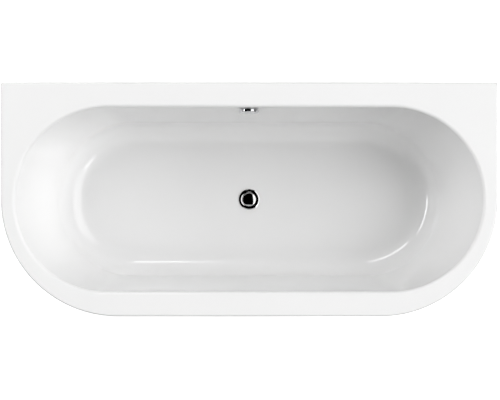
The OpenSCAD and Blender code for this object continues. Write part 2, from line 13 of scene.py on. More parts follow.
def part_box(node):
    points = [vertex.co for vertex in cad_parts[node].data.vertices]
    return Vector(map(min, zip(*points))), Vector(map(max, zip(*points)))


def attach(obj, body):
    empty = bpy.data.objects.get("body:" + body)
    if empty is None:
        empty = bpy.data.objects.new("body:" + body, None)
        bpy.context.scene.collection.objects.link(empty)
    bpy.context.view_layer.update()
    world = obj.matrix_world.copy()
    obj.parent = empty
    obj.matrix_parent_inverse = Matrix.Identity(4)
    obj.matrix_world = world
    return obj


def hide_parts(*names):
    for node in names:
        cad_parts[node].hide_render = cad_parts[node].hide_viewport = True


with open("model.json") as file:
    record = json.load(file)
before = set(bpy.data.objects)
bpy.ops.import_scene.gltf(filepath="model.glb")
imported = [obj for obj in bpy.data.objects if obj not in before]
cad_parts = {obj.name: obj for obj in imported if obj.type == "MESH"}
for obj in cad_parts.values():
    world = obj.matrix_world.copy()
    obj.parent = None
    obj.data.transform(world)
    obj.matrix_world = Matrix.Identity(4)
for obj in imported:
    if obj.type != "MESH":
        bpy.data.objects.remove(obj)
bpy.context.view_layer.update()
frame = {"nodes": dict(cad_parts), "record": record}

# ---------------------------------------------------------------- sizes

MM = 0.001
shell_low, shell_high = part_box("bath_shell")
HALF_L = shell_high[0]
HALF_D = shell_high[1]
RIM_Z = shell_high[2]
LIP_Z = RIM_Z - 40 * MM
SHELL_T = 5 * MM
RIM_END_W = 38 * MM
RIM_SIDE_W = 73 * MM
OUTER_EDGE_R = 6 * MM
INNER_EDGE_R = 12 * MM
BACK_CORNER_R = 6 * MM
FLOOR_Z = 166 * MM
FLOOR_FALL = 6 * MM
SIDE_LEAN = radians(6.5)
END_LEAN = radians(18)
SIDE_COVE_R = 90 * MM
END_COVE_R = 110 * MM
DRAIN_R = 46 * MM
DRAIN_C = 8 * MM
WASTE_HOLE_R = 26 * MM
OVERFLOW_HOLE_R = 26 * MM
EDGE_Z = RIM_Z - INNER_EDGE_R
DRAIN_Z = FLOOR_Z - FLOOR_FALL
TUBE_W = 20 * MM
TUBE_T = 1.5 * MM
END_STEPS = 72  # points round a half-round end
LONG_CUTS = 36  # cuts along a long straight run
SLOT_OF = {part["node"]: part["material_slot"] for part in frame["record"]["subparts"]}


def centre_of(node):
    """The middle of a node's box."""
    low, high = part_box(node)
    return (Vector(low) + Vector(high)) / 2


# ---------------------------------------------------------------- mesh helpers

def finish_piece(bm, name, material, body="tub", node=None, smooth=True):
    """Turns a bmesh into a named piece that rides on a body and stands for CAD nodes."""
    bmesh.ops.remove_doubles(bm, verts=bm.verts, dist=0.000005)
    bmesh.ops.recalc_face_normals(bm, faces=bm.faces)
    mesh = bpy.data.meshes.new(name)
    bm.to_mesh(mesh)
    bm.free()
    piece = bpy.data.objects.new(name, mesh)
    bpy.context.scene.collection.objects.link(piece)
    for item in material if isinstance(material, (list, tuple)) else [material]:
        mesh.materials.append(item)
    for face in mesh.polygons:
        face.use_smooth = smooth
    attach(piece, body)
    if node:
        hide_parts(*([node] if isinstance(node, str) else node))
    return piece


def crease_shading(piece, angle=35):
    """Flat faces stay flat: edges sharper than the angle are marked, and big faces lead."""
    piece.data.set_sharp_from_angle(angle=radians(angle))
    weighted = piece.modifiers.new("flat faces lead", "WEIGHTED_NORMAL")
    weighted.keep_sharp = True
    weighted.weight = 60


def add_arc(loop, start, centre, angle, steps):
    """Spins one point about an upright axis and gives the arc's points in order."""
    made_before = len(loop.verts)
    first = loop.verts.new(start)
    bmesh.ops.spin(loop, geom=[first], cent=centre, axis=(0, 0, 1), angle=angle, steps=steps,
                   use_merge=False, use_duplicate=False)
    loop.verts.ensure_lookup_table()
    return loop.verts[made_before:]


def add_runs(loop, arcs, cuts):
    """Joins arcs, in order, with straight runs that are cut into short edges."""
    joins = [loop.edges.new((arc[-1], after[0])) for arc, after in zip(arcs, arcs[1:])]
    for run, count in zip(joins, cuts):
        bmesh.ops.subdivide_edges(loop, edges=[run], cuts=count)


def join(bm, other):
    """Adds another bmesh's geometry to bm, and gives the edges that came."""
    made_before = len(bm.edges)
    mesh = bpy.data.meshes.new("joined")
    other.to_mesh(mesh)
    other.free()
    bm.from_mesh(mesh)
    bpy.data.meshes.remove(mesh)
    bm.edges.ensure_lookup_table()
    return bm.edges[made_before:]


def stadium_loop(bm, z, c, r):
    """A closed loop with two half-round ends of radius r, centred at +c and -c."""
    loop = bmesh.new()
    right = add_arc(loop, (c, -r, z), (c, 0, z), pi, END_STEPS)
    left = add_arc(loop, (-c, r, z), (-c, 0, z), pi, END_STEPS)
    add_runs(loop, [right, left, right], [LONG_CUTS, LONG_CUTS])
    return join(bm, loop)


def rim_loop(bm, z, inset):
    """A closed loop along the rim's D-shaped outline, drawn in by inset.

    It has as many points as a bowl loop, and its back is split where the bowl's ends begin.
    """
    loop = bmesh.new()
    c, r = HALF_L - HALF_D, HALF_D - inset
    corner = max(BACK_CORNER_R - inset, 1 * MM)
    side, back, split = c + r - corner, r - corner, HALF_L - RIM_END_W - HALF_D + RIM_SIDE_W
    arcs = [add_arc(loop, (c, -r, z), (c, 0, z), pi / 2, END_STEPS // 2),
            add_arc(loop, (c + r, back, z), (side, back, z), pi / 2, 6),
            [loop.verts.new((split, r, z))],
            [loop.verts.new((-split, r, z))],
            add_arc(loop, (-side, r, z), (-side, back, z), pi / 2, 6),
            add_arc(loop, (-c - r, 0, z), (-c, 0, z), pi / 2, END_STEPS // 2)]
    short = END_STEPS // 4 - 4
    add_runs(loop, arcs + arcs[:1], [short, short, LONG_CUTS, short, short, LONG_CUTS])
    return join(bm, loop)


def bridge(bm, loops):
    """Skins a row of loops that have the same number of points.

    Each loop drops a metre while it is joined, so that two loops in one plane match up too.
    """
    for low, high in zip(loops, loops[1:]):
        verts = list({vert for edge in high for vert in edge.verts})
        bmesh.ops.translate(bm, vec=(0, 0, -1), verts=verts)
        bmesh.ops.bridge_loops(bm, edges=low + high)
        bmesh.ops.translate(bm, vec=(0, 0, 1), verts=verts)


def lathe(profile, centre=(0, 0, 0), steps=64, tilt=0.0):
    """A turned solid: the profile's (radius, height) points spun about an upright axis."""
    bm = bmesh.new()
    points = [bm.verts.new((r, 0, z)) for r, z in profile]
    edges = [bm.edges.new(pair) for pair in zip(points, points[1:])]
    bmesh.ops.spin(bm, geom=points + edges, cent=(0, 0, 0), axis=(0, 0, 1), angle=2 * pi,
                   steps=steps, use_merge=True, use_duplicate=False)
    bmesh.ops.remove_doubles(bm, verts=bm.verts, dist=0.000005)
    place = Matrix.Translation(centre) @ Matrix.Rotation(tilt, 4, "X")
    bmesh.ops.transform(bm, matrix=place, verts=bm.verts)
    return bm


def arc_points(cx, cz, r, start, end, steps):
    """Points of an arc in a turned profile, the angles in degrees."""
    return [(cx + r * cos(radians(start + (end - start) * k / steps)),
             cz + r * sin(radians(start + (end - start) * k / steps))) for k in range(steps + 1)]


# ---------------------------------------------------------------- bowl profile

def cove_centre(flat, lean, cove_r):
    return flat - (INNER_EDGE_R + cove_r) / cos(lean) - (EDGE_Z - FLOOR_Z - cove_r) * tan(lean)


def reach(z, off, flat, lean, cove_r):
    """Distance from the middle to the wall at height z; off is 0 inside, SHELL_T outside."""
    edge, cove, cove_z = INNER_EDGE_R - off, cove_r + off, FLOOR_Z + cove_r
    if z > EDGE_Z + edge * sin(lean):
        return flat - sqrt(max(0, edge ** 2 - (z - EDGE_Z) ** 2))
    if z > cove_z - cove * sin(lean):
        return flat - edge / cos(lean) + (z - EDGE_Z) * tan(lean)
    return cove_centre(flat, lean, cove_r) + sqrt(max(0, cove ** 2 - (cove_z - z) ** 2))


def side_reach(z, off=0.0):
    return reach(z, off, HALF_D - RIM_SIDE_W, SIDE_LEAN, SIDE_COVE_R)


def end_reach(z, off=0.0):
    return reach(z, off, HALF_L - RIM_END_W, END_LEAN, END_COVE_R)


def bowl_loop(bm, z, off):
    half = side_reach(z, off)
    return stadium_loop(bm, z, end_reach(z, off) - half, half)


def wall_heights(off):
    """Heights of the bowl's loops, from just under the rim down to the cove's foot."""
    edge, cove = INNER_EDGE_R - off, END_COVE_R + off
    straight = EDGE_Z - FLOOR_Z - END_COVE_R
    return ([EDGE_Z + edge * cos(radians(a)) for a in (0, 12, 24, 36, 48, 60, 72, 84)]
            + [EDGE_Z - 6 * MM] + [EDGE_Z - straight * k / 4 for k in (1, 2, 3)]
            + [FLOOR_Z - off + cove * (1 - cos(radians(a))) for a in range(87, -1, -3)])


def floor_loops(bm, off):
    """Loops of the floor from inside the cove's foot to the flat round the waste."""
    half_d = cove_centre(HALF_D - RIM_SIDE_W, SIDE_LEAN, SIDE_COVE_R)
    half_l = cove_centre(HALF_L - RIM_END_W, END_LEAN, END_COVE_R)
    loops = []
    for s in (0.04, 0.12, 0.25, 0.4, 0.55, 0.7, 0.85, 0.96, 1.0):
        r = half_d + s * (DRAIN_R - half_d)
        c = (half_l - half_d) * (1 - s) + DRAIN_C * s
        ease = s * s * (3 - 2 * s)
        loops.append(stadium_loop(bm, FLOOR_Z - off - ease * FLOOR_FALL, c, r))
    return loops


# ---------------------------------------------------------------- material helpers

def new_material(name, **sockets):
    """A material whose shader sockets are set by name, with spaces as underscores."""
    material = bpy.data.materials.new(name)
    material.use_nodes = True
    shader = material.node_tree.nodes["Principled BSDF"]
    for socket, value in sockets.items():
        shader.inputs[socket.replace("_", " ")].default_value = value
    return material


def add_node(material, kind, **values):
    node = material.node_tree.nodes.new(kind)
    for key, value in values.items():
        if key in node.inputs:
            node.inputs[key].default_value = value
        else:
            setattr(node, key, value)
    return node


def wire(material, output, socket):
    material.node_tree.links.new(output, socket)


def shader_of(material):
    return material.node_tree.nodes["Principled BSDF"]


def object_coordinates(material, stretch=(1, 1, 1)):
    """Points of the piece, with the pattern stretched along each axis."""
    place = add_node(material, "ShaderNodeTexCoord")
    mapping = add_node(material, "ShaderNodeMapping")
    mapping.inputs["Scale"].default_value = stretch
    wire(material, place.outputs["Object"], mapping.inputs["Vector"])
    return mapping.outputs["Vector"]


def noise(material, scale, detail=3.0, stretch=(1, 1, 1), warp=0.0):
    node = add_node(material, "ShaderNodeTexNoise", Scale=scale, Detail=detail, Distortion=warp)
    wire(material, object_coordinates(material, stretch), node.inputs["Vector"])
    return node.outputs["Fac"]


def cells(material, scale, stretch=(1, 1, 1), output="Distance"):
    node = add_node(material, "ShaderNodeTexVoronoi", feature="F1", Scale=scale)
    wire(material, object_coordinates(material, stretch), node.inputs["Vector"])
    return node.outputs[output]


def ramp(material, value, stops):
    """Colours along a value: stops are (place, (r, g, b))."""
    node = add_node(material, "ShaderNodeValToRGB")
    points = node.color_ramp.elements
    while len(points) < len(stops):
        points.new(0.5)
    for point, (place, colour) in zip(points, stops):
        point.position = place
        point.color = (*colour, 1)
    wire(material, value, node.inputs["Fac"])
    return node.outputs["Color"]


def colour_from(material, value, stops):
    wire(material, ramp(material, value, stops), shader_of(material).inputs["Base Color"])


def roughness_from(material, value, low, high):
    node = add_node(material, "ShaderNodeMapRange")
    node.inputs["To Min"].default_value = low
    node.inputs["To Max"].default_value = high
    wire(material, value, node.inputs["Value"])
    wire(material, node.outputs["Result"], shader_of(material).inputs["Roughness"])


def bump_from(material, value, strength, distance, under=None):
    """A bump whose depth is in metres; under is a bump that it adds to."""
    node = add_node(material, "ShaderNodeBump", Strength=strength, Distance=distance)
    wire(material, value, node.inputs["Height"])
    if under:
        wire(material, under, node.inputs["Normal"])
    wire(material, node.outputs["Normal"], shader_of(material).inputs["Normal"])
    return node.outputs["Normal"]


def mix_values(material, a, b, share):
    node = add_node(material, "ShaderNodeMix", data_type="FLOAT")
    node.inputs[0].default_value = share
    wire(material, a, node.inputs[2])
    wire(material, b, node.inputs[3])
    return node.outputs[0]


# ---------------------------------------------------------------- materials

def white_acrylic():
    """High-gloss sanitary acrylic: a whisper of mottling, and the ripple of a formed sheet."""
    m = new_material("white acrylic", IOR=1.49, Coat_Weight=0.6, Coat_Roughness=0.03,
                     Coat_IOR=1.5)
    colour_from(m, noise(m, 2.2, 2.0), [(0.3, (0.735, 0.735, 0.735)), (0.7, (0.752, 0.752, 0.751))])
    roughness_from(m, noise(m, 9.0, 4.0), 0.09, 0.16)
    bump_from(m, noise(m, 7.0, 1.5), 0.12, 0.0006)
    return m


def glass_fibre():
    """Cured resin over chopped strands, cloudy and rough."""
    m = new_material("glass fibre backing", IOR=1.5)
    strands = noise(m, 60.0, 6.0, (1, 4, 1), 2.5)
    cross = noise(m, 55.0, 6.0, (4, 1, 2), 2.0)
    both = mix_values(m, strands, cross, 0.5)
    colour_from(m, both, [(0.3, (0.50, 0.47, 0.36)), (0.5, (0.66, 0.63, 0.52)),
                          (0.7, (0.80, 0.79, 0.72))])
    roughness_from(m, both, 0.35, 0.7)
    bump_from(m, both, 0.8, 0.0015, bump_from(m, noise(m, 14.0, 3.0), 0.5, 0.003))
    return m


def chipboard():
    """Pressed wood chips sealed with resin."""
    m = new_material("resin-coated chipboard", IOR=1.5, Coat_Weight=0.25, Coat_Roughness=0.3)
    chips = cells(m, 160.0, (1, 1.7, 3), "Color")
    colour_from(m, chips, [(0.1, (0.30, 0.19, 0.10)), (0.45, (0.52, 0.36, 0.21)),
                           (0.8, (0.68, 0.51, 0.32))])
    roughness_from(m, noise(m, 90.0), 0.5, 0.75)
    bump_from(m, chips, 0.5, 0.0006)
    return m


def softwood():
    """Sawn timber with its grain along X."""
    m = new_material("sawn softwood", IOR=1.45)
    rings = noise(m, 26.0, 3.0, (0.12, 1.2, 2.6), 1.2)
    fibre = noise(m, 260.0, 4.0, (0.05, 1, 1))
    both = mix_values(m, rings, fibre, 0.35)
    colour_from(m, both, [(0.32, (0.42, 0.27, 0.14)), (0.5, (0.66, 0.48, 0.28)),
                          (0.68, (0.76, 0.60, 0.39))])
    roughness_from(m, fibre, 0.55, 0.85)
    bump_from(m, fibre, 0.6, 0.0006)
    return m


def galvanised_steel():
    """Hot-dipped zinc with its spangle."""
    m = new_material("galvanised steel", Metallic=1.0)
    spangle = cells(m, 150.0, (1, 1, 1), "Color")
    cloud = noise(m, 30.0, 5.0)
    both = mix_values(m, spangle, cloud, 0.45)
    colour_from(m, both, [(0.2, (0.42, 0.44, 0.46)), (0.5, (0.56, 0.58, 0.60)),
                          (0.8, (0.70, 0.72, 0.73))])
    roughness_from(m, both, 0.28, 0.5)
    bump_from(m, cloud, 0.25, 0.0003)
    return m


def plated_steel(name, dark, light, rough=(0.2, 0.36)):
    """Zinc-plated or drawn steel, with faint draw marks and darker handling."""
    m = new_material(name, Metallic=1.0)
    marks = noise(m, 420.0, 4.0, (1, 1, 0.08))
    cloud = noise(m, 45.0, 4.0)
    both = mix_values(m, marks, cloud, 0.5)
    colour_from(m, both, [(0.3, dark), (0.7, light)])
    roughness_from(m, both, *rough)
    bump_from(m, marks, 0.2, 0.0002)
    return m


def yellow_zinc():
    """Passivated zinc that drifts from gold to green and pink."""
    m = new_material("yellow zinc plating", Metallic=1.0)
    drift = noise(m, 60.0, 3.0, (1, 1, 1), 0.8)
    colour_from(m, drift, [(0.3, (0.62, 0.42, 0.18)), (0.45, (0.74, 0.60, 0.26)),
                           (0.6, (0.58, 0.60, 0.30)), (0.75, (0.72, 0.48, 0.36))])
    roughness_from(m, noise(m, 200.0), 0.22, 0.4)
    bump_from(m, noise(m, 500.0), 0.15, 0.0002)
    return m


def chrome():
    """Polished plating: nearly a mirror, with the faintest waviness."""
    m = new_material("polished chrome", Metallic=1.0)
    colour_from(m, noise(m, 70.0, 2.0), [(0.3, (0.74, 0.75, 0.76)), (0.7, (0.80, 0.80, 0.81))])
    roughness_from(m, noise(m, 160.0, 4.0), 0.03, 0.08)
    bump_from(m, noise(m, 90.0, 1.0), 0.04, 0.0003)
    return m


def moulded_plastic(name, dark, light, rough=(0.35, 0.5), grain=700.0, depth=0.00012,
                    subsurface=0.0):
    """Injection-moulded plastic: fine spark-eroded grain, and faint flow marks."""
    m = new_material(name, IOR=1.49, Subsurface_Weight=subsurface, Subsurface_Scale=0.002)
    flow = noise(m, 28.0, 3.0, (1, 1, 0.35), 0.6)
    colour_from(m, flow, [(0.3, dark), (0.7, light)])
    fine = noise(m, grain, 2.0)
    roughness_from(m, fine, *rough)
    bump_from(m, fine, 0.35, depth)
    return m


def rubber(name, dark, light):
    """Matt rubber with a dusty bloom and a fine pebbled skin."""
    m = new_material(name, IOR=1.5, Sheen_Weight=0.25, Sheen_Roughness=0.5)
    bloom = noise(m, 80.0, 5.0)
    colour_from(m, bloom, [(0.35, dark), (0.7, light)])
    roughness_from(m, bloom, 0.6, 0.9)
    bump_from(m, cells(m, 900.0), 0.4, 0.0002)
    return m


# ---------------------------------------------------------------- tub

def build_shell(acrylic, glass_fibre):
    """The moulded shell: glossy bowl and rim, turned-down lip, and the fibre-backed underside."""
    bm = bmesh.new()
    top_loops = [rim_loop(bm, LIP_Z, 0), rim_loop(bm, RIM_Z - OUTER_EDGE_R - 2 * MM, 0)]
    top_loops += [rim_loop(bm, RIM_Z - OUTER_EDGE_R * (1 - sin(radians(a))),
                           OUTER_EDGE_R * (1 - cos(radians(a)))) for a in range(0, 91, 15)]
    top_loops.append(rim_loop(bm, RIM_Z, OUTER_EDGE_R + 2 * MM))
    bridge(bm, top_loops)
    half_flat = HALF_D - RIM_SIDE_W
    flat_edge = stadium_loop(bm, RIM_Z, HALF_L - RIM_END_W - half_flat, half_flat + 2 * MM)
    bowl = [top_loops[-1], flat_edge] + [bowl_loop(bm, z, 0.0) for z in wall_heights(0.0)]
    bowl += floor_loops(bm, 0.0)
    bowl.append(stadium_loop(bm, DRAIN_Z, 0.01 * MM, WASTE_HOLE_R))
    bridge(bm, bowl)

    top_faces = set(bm.faces)
    lip_in = [top_loops[0], rim_loop(bm, LIP_Z, SHELL_T),
              rim_loop(bm, RIM_Z - SHELL_T, SHELL_T)]
    bridge(bm, lip_in)
    under = [lip_in[-1]] + [bowl_loop(bm, z, SHELL_T) for z in wall_heights(SHELL_T)]
    under += floor_loops(bm, SHELL_T)
    under.append(stadium_loop(bm, DRAIN_Z - SHELL_T, 0.01 * MM, WASTE_HOLE_R))
    bridge(bm, under)
    for face in bm.faces:
        face.material_index = 0 if face in top_faces else 1
    bridge(bm, [bowl[-1], under[-1]])

    shell = finish_piece(bm, "bath_shell_moulding", [acrylic, glass_fibre], node="bath_shell")
    cut_overflow_hole(shell)
    crease_shading(shell, 40)
    return shell


def overflow_place():
    """The knob's centre on the back wall; local +Z is the wall's inward normal."""
    z = centre_of("overflow_seal").z + 6.5 * MM * sin(SIDE_LEAN)
    return Matrix.Translation((0, side_reach(z), z)) @ Matrix.Rotation(pi / 2 - SIDE_LEAN, 4, "X")


def cut_overflow_hole(shell):
    bm = bmesh.new()
    bmesh.ops.create_cone(bm, cap_ends=True, segments=64, radius1=OVERFLOW_HOLE_R,
                          radius2=OVERFLOW_HOLE_R, depth=40 * MM)
    bmesh.ops.transform(bm, matrix=overflow_place(), verts=bm.verts)
    mesh = bpy.data.meshes.new("drill")
    bm.to_mesh(mesh)
    bm.free()
    drill = bpy.data.objects.new("drill", mesh)
    bpy.context.scene.collection.objects.link(drill)
    cut = shell.modifiers.new("overflow hole", "BOOLEAN")
    cut.operation = "DIFFERENCE"
    cut.object = drill
    cut.solver = "EXACT"
    graph = bpy.context.evaluated_depsgraph_get()
    drilled = bpy.data.meshes.new_from_object(shell.evaluated_get(graph))
    shell.modifiers.clear()
    shell.data = drilled
    bpy.data.objects.remove(drill)


APRON_T = 5 * MM
APRON_INSET = SHELL_T + 3 * MM
APRON_TAPER = 57 * MM
APRON_FOOT_Z = 4 * MM
APRON_BAND_Z = LIP_Z - 5 * MM
APRON_TOP_Z = RIM_Z - SHELL_T - 3 * MM
APRON_BACK_Y = HALF_D - SHELL_T - 1 * MM


def apron_path(bm, z, inset):
    """An open run of edges round the front: wall, side, bend, front, bend, side, wall."""
    loop = bmesh.new()
    c, r = HALF_L - HALF_D, HALF_D - inset
    left = add_arc(loop, (-c - r, 0, z), (-c, 0, z), pi / 2, END_STEPS // 2)
    right = add_arc(loop, (c, -r, z), (c, 0, z), pi / 2, END_STEPS // 2)
    ends = [[loop.verts.new((x, APRON_BACK_Y, z))] for x in (-c - r, c + r)]
    add_runs(loop, [ends[0], left, right, ends[1]], [10, LONG_CUTS, 10])
    return join(bm, loop)


def apron_inset(z):
    """How far the apron is drawn in from the rim's outline at height z."""
    fall = max(0.0, (APRON_BAND_Z - z) / (APRON_BAND_Z - APRON_FOOT_Z))
    return APRON_INSET + APRON_TAPER * fall ** 1.25


def build_apron(acrylic, glass_fibre):
    bm = bmesh.new()
    span = APRON_BAND_Z - APRON_FOOT_Z
    heights = [APRON_FOOT_Z, APRON_FOOT_Z + 2 * MM]
    heights += [APRON_FOOT_Z + span * k / 12 for k in range(1, 12)]
    heights += [APRON_BAND_Z, APRON_BAND_Z + 3 * MM, APRON_TOP_Z]
    outside = [apron_path(bm, z, apron_inset(z)) for z in heights]
    bridge(bm, outside)
    bmesh.ops.recalc_face_normals(bm, faces=bm.faces)
    if bm.faces[0].normal.dot(bm.faces[0].calc_center_median()) < 0:
        bmesh.ops.reverse_faces(bm, faces=bm.faces)
    outer_faces = set(bm.faces)
    bmesh.ops.solidify(bm, geom=list(bm.faces), thickness=APRON_T)
    for face in bm.faces:
        face.material_index = 0 if face in outer_faces else 1
    lower_rim = [e for e in bm.edges
                 if all(abs(v.co.z - APRON_FOOT_Z) < 0.1 * MM for v in e.verts)
                 and len(e.link_faces) == 2 and e.calc_face_angle(0) > radians(60)]
    bmesh.ops.bevel(bm, geom=lower_rim, offset=1.2 * MM, offset_type="OFFSET", segments=3,
                    profile=0.5, affect="EDGES", material=-1, clamp_overlap=True)
    apron = finish_piece(bm, "apron_panel", [acrylic, glass_fibre], node="apron")
    crease_shading(apron, 40)
    return apron


# ---------------------------------------------------------------- chrome fittings

def build_waste_flange(chrome):
    """A domed ring with a rolled edge and a recessed seat, its neck and the stem's guide."""
    low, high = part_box("waste_flange")
    outer, top = high[0], high[2]
    under = top - 3 * MM
    seat_r, seat_z, throat_r = 24.8 * MM, under - 0.5 * MM, 22 * MM
    profile = [(24.9 * MM, under)]
    profile += [(outer - 1.2 * MM, under)]
    profile += arc_points(outer - 1.2 * MM, under + 1.2 * MM, 1.2 * MM, -90, 20, 8)
    profile += [(outer - 2.2 * MM, top - 0.7 * MM), (outer - 4 * MM, top - 0.2 * MM),
                (outer - 6 * MM, top), (outer - 8 * MM, top - 0.1 * MM),
                (seat_r + 2.2 * MM, top - 1.0 * MM)]
    profile += arc_points(seat_r + 1.0 * MM, top - 2.1 * MM, 1.0 * MM, 80, 180, 6)
    profile += [(seat_r, seat_z + 0.3 * MM), (seat_r - 0.3 * MM, seat_z),
                (throat_r + 0.3 * MM, seat_z), (throat_r, seat_z - 0.3 * MM),
                (throat_r, low[2]), (24.9 * MM, low[2]), (24.9 * MM, under)]
    bm = lathe(profile, steps=96)
    guide_z, guide_h, bore = low[2] + 5 * MM, 6 * MM, 4.08 * MM
    hub = lathe([(bore, guide_z - guide_h / 2), (8 * MM, guide_z - guide_h / 2),
                 (8 * MM, guide_z + guide_h / 2), (bore, guide_z + guide_h / 2),
                 (bore, guide_z - guide_h / 2)], steps=48)
    join(bm, hub)
    for turn in (0, 120, 240):
        arm = bmesh.new()
        bmesh.ops.create_cube(arm, size=1, matrix=Matrix.Rotation(radians(turn), 4, "Z")
                              @ Matrix.Translation((15 * MM, 0, guide_z))
                              @ Matrix.Diagonal((15 * MM, 4 * MM, guide_h, 1)))
        join(bm, arm)
    flange = finish_piece(bm, "waste_flange_chrome", chrome, node="waste_flange")
    crease_shading(flange, 30)
    return flange


def build_plug(chrome):
    """The domed chrome cap of the pop-up plug."""
    low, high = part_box("plug_cap")
    outer, base, top = high[0], low[2], high[2]
    rise = top - base - 1.2 * MM
    dome_r = (outer ** 2 + rise ** 2) / (2 * rise)
    profile = [(0, base), (outer - 0.6 * MM, base)]
    profile += arc_points(outer - 0.6 * MM, base + 0.6 * MM, 0.6 * MM, -90, 60, 6)
    spread = asin((outer - 0.8 * MM) / dome_r)
    angles = [spread * (1 - k / 20) for k in range(21)]
    profile += [(dome_r * sin(a), top - dome_r + dome_r * cos(a)) for a in angles]
    bm = lathe(profile, steps=96)
    plug = finish_piece(bm, "plug_dome", chrome, body="plug", node="plug_cap")
    crease_shading(plug, 40)
    return plug


def build_knob(chrome):
    """The hollow chrome knob on the overflow, with a rolled edge and a boss for its spindle."""
    depth, face, skirt_z, outer = 13 * MM, 2.5 * MM, 3.5 * MM, 34 * MM
    inner, boss_r, bore = outer - 2.5 * MM, 8 * MM, 4 * MM
    under = depth - face
    profile = [(0, under - 1.5 * MM), (bore, under - 1.5 * MM), (bore, skirt_z + 0.4 * MM),
               (boss_r, skirt_z + 0.4 * MM), (boss_r, under), (inner - 1 * MM, under),
               (inner, under - 1 * MM), (inner, skirt_z), (outer - 0.4 * MM, skirt_z),
               (outer, skirt_z + 0.4 * MM)]
    profile += arc_points(outer - 3 * MM, depth - 3 * MM, 3 * MM, 0, 84, 12)
    profile += [(outer - 6 * MM, depth - 0.1 * MM), (outer - 9 * MM, depth - 0.35 * MM),
                (outer - 12 * MM, depth - 0.55 * MM), (12 * MM, depth - 0.5 * MM),
                (6 * MM, depth - 0.4 * MM), (0, depth - 0.4 * MM)]
    bm = lathe(profile, steps=128)
    bmesh.ops.transform(bm, matrix=overflow_place(), verts=bm.verts)
    knob = finish_piece(bm, "overflow_knob_chrome", chrome, body="knob", node="overflow_knob")
    crease_shading(knob, 30)
    return knob


# ---------------------------------------------------------------- feet

def place(bm, node, z=0.0):
    """Moves a turned part over the middle of a node."""
    middle = centre_of(node)
    bmesh.ops.translate(bm, vec=(middle.x, middle.y, z), verts=bm.verts)


def hexagon(profile, centre=(0, 0, 0)):
    """A six-sided turned solid, its profile's radii taken across the corners."""
    return lathe(profile, centre, steps=6)


def threaded_rod(r, pitch, low, high):
    """A rod with a real helical thread: one tooth spun up the rod."""
    bm = bmesh.new()
    root = r - 0.6 * pitch
    tooth = [bm.verts.new((radius, 0, low + rise * pitch))
             for radius, rise in ((root, 0), (r, 0.45), (r, 0.6), (root, 1))]
    edges = [bm.edges.new(pair) for pair in zip(tooth, tooth[1:])]
    turns = int((high - low) / pitch) - 1
    bmesh.ops.spin(bm, geom=tooth + edges, cent=(0, 0, 0), axis=(0, 0, 1), angle=2 * pi * turns,
                   dvec=(0, 0, pitch / 20), steps=20 * turns, use_merge=False,
                   use_duplicate=False)
    bmesh.ops.remove_doubles(bm, verts=bm.verts, dist=0.000005)
    core = r - 0.58 * pitch
    join(bm, lathe([(0, low), (core - 0.4 * MM, low), (core, low + 0.4 * MM),
                    (core, high - 1 * MM), (core - 1 * MM, high), (0, high)], steps=32))
    return bm


def build_feet(steel, plastic, sole_rubber):
    """Six screw feet: an M12 stud with a hex collar, a domed pad and a grooved rubber sole."""
    low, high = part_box("foot_stud_1")
    stud = threaded_rod(6 * MM, 1.75 * MM, 26 * MM, high[2])
    collar_r = 9.7 * MM
    join(stud, hexagon([(0, 19 * MM), (collar_r - 0.8 * MM, 19 * MM), (collar_r, 19.6 * MM),
                        (collar_r, 25.4 * MM), (collar_r - 0.8 * MM, 26 * MM), (0, 26 * MM)]))
    join(stud, lathe([(0, low[2]), (5.9 * MM, low[2]), (5.9 * MM, 19.2 * MM), (0, 19.2 * MM)],
                     steps=32))
    pad_r, top_r = 25 * MM, 12 * MM
    pad = lathe([(6.1 * MM, 8 * MM), (6.1 * MM, 15.4 * MM), (6.7 * MM, 16 * MM),
                 (top_r - 1.2 * MM, 16 * MM), (top_r, 15.2 * MM), (14.5 * MM, 12.6 * MM),
                 (19 * MM, 9 * MM), (22.5 * MM, 6.6 * MM), (pad_r - 0.7 * MM, 5.6 * MM),
                 (pad_r, 5 * MM), (pad_r, 4.4 * MM), (pad_r - 0.4 * MM, 4 * MM),
                 (0, 4 * MM), (0, 8 * MM), (6.1 * MM, 8 * MM)], steps=72)
    for turn in range(0, 360, 45):
        rib = bmesh.new()
        bmesh.ops.create_cube(rib, size=1, matrix=Matrix.Rotation(radians(turn), 4, "Z")
                              @ Matrix.Translation((15.2 * MM, 0, 8.2 * MM))
                              @ Matrix.Diagonal((8 * MM, 1.6 * MM, 7.2 * MM, 1)))
        bmesh.ops.bevel(rib, geom=rib.edges[:], offset=0.3 * MM, segments=2, profile=0.5,
                        affect="EDGES", material=-1)
        join(pad, rib)
    sole_r = 24 * MM
    grooves = []
    for r in (21, 17.5, 14, 10.5, 7):
        grooves += [(r * MM, 0), (r * MM - 0.3 * MM, 0.7 * MM), (r * MM - 0.9 * MM, 0.7 * MM),
                    (r * MM - 1.2 * MM, 0)]
    sole = lathe([(0, 4 * MM), (sole_r - 0.3 * MM, 4 * MM), (sole_r, 3.7 * MM),
                  (sole_r, 0.6 * MM), (sole_r - 0.6 * MM, 0)] + grooves + [(0, 0)], steps=72)
    for kind, bm, material in (("stud", stud, steel), ("pad", pad, plastic),
                               ("sole", sole, sole_rubber)):
        for k in range(1, 7):
            node = "foot_%s_%d" % (kind, k)
            copy = bm.copy()
            place(copy, node)
            piece = finish_piece(copy, "foot_%d_%s" % (k, kind), material, body="foot_%d" % k,
                                 node=node)
            crease_shading(piece, 30)
        bm.free()


# ---------------------------------------------------------------- frame

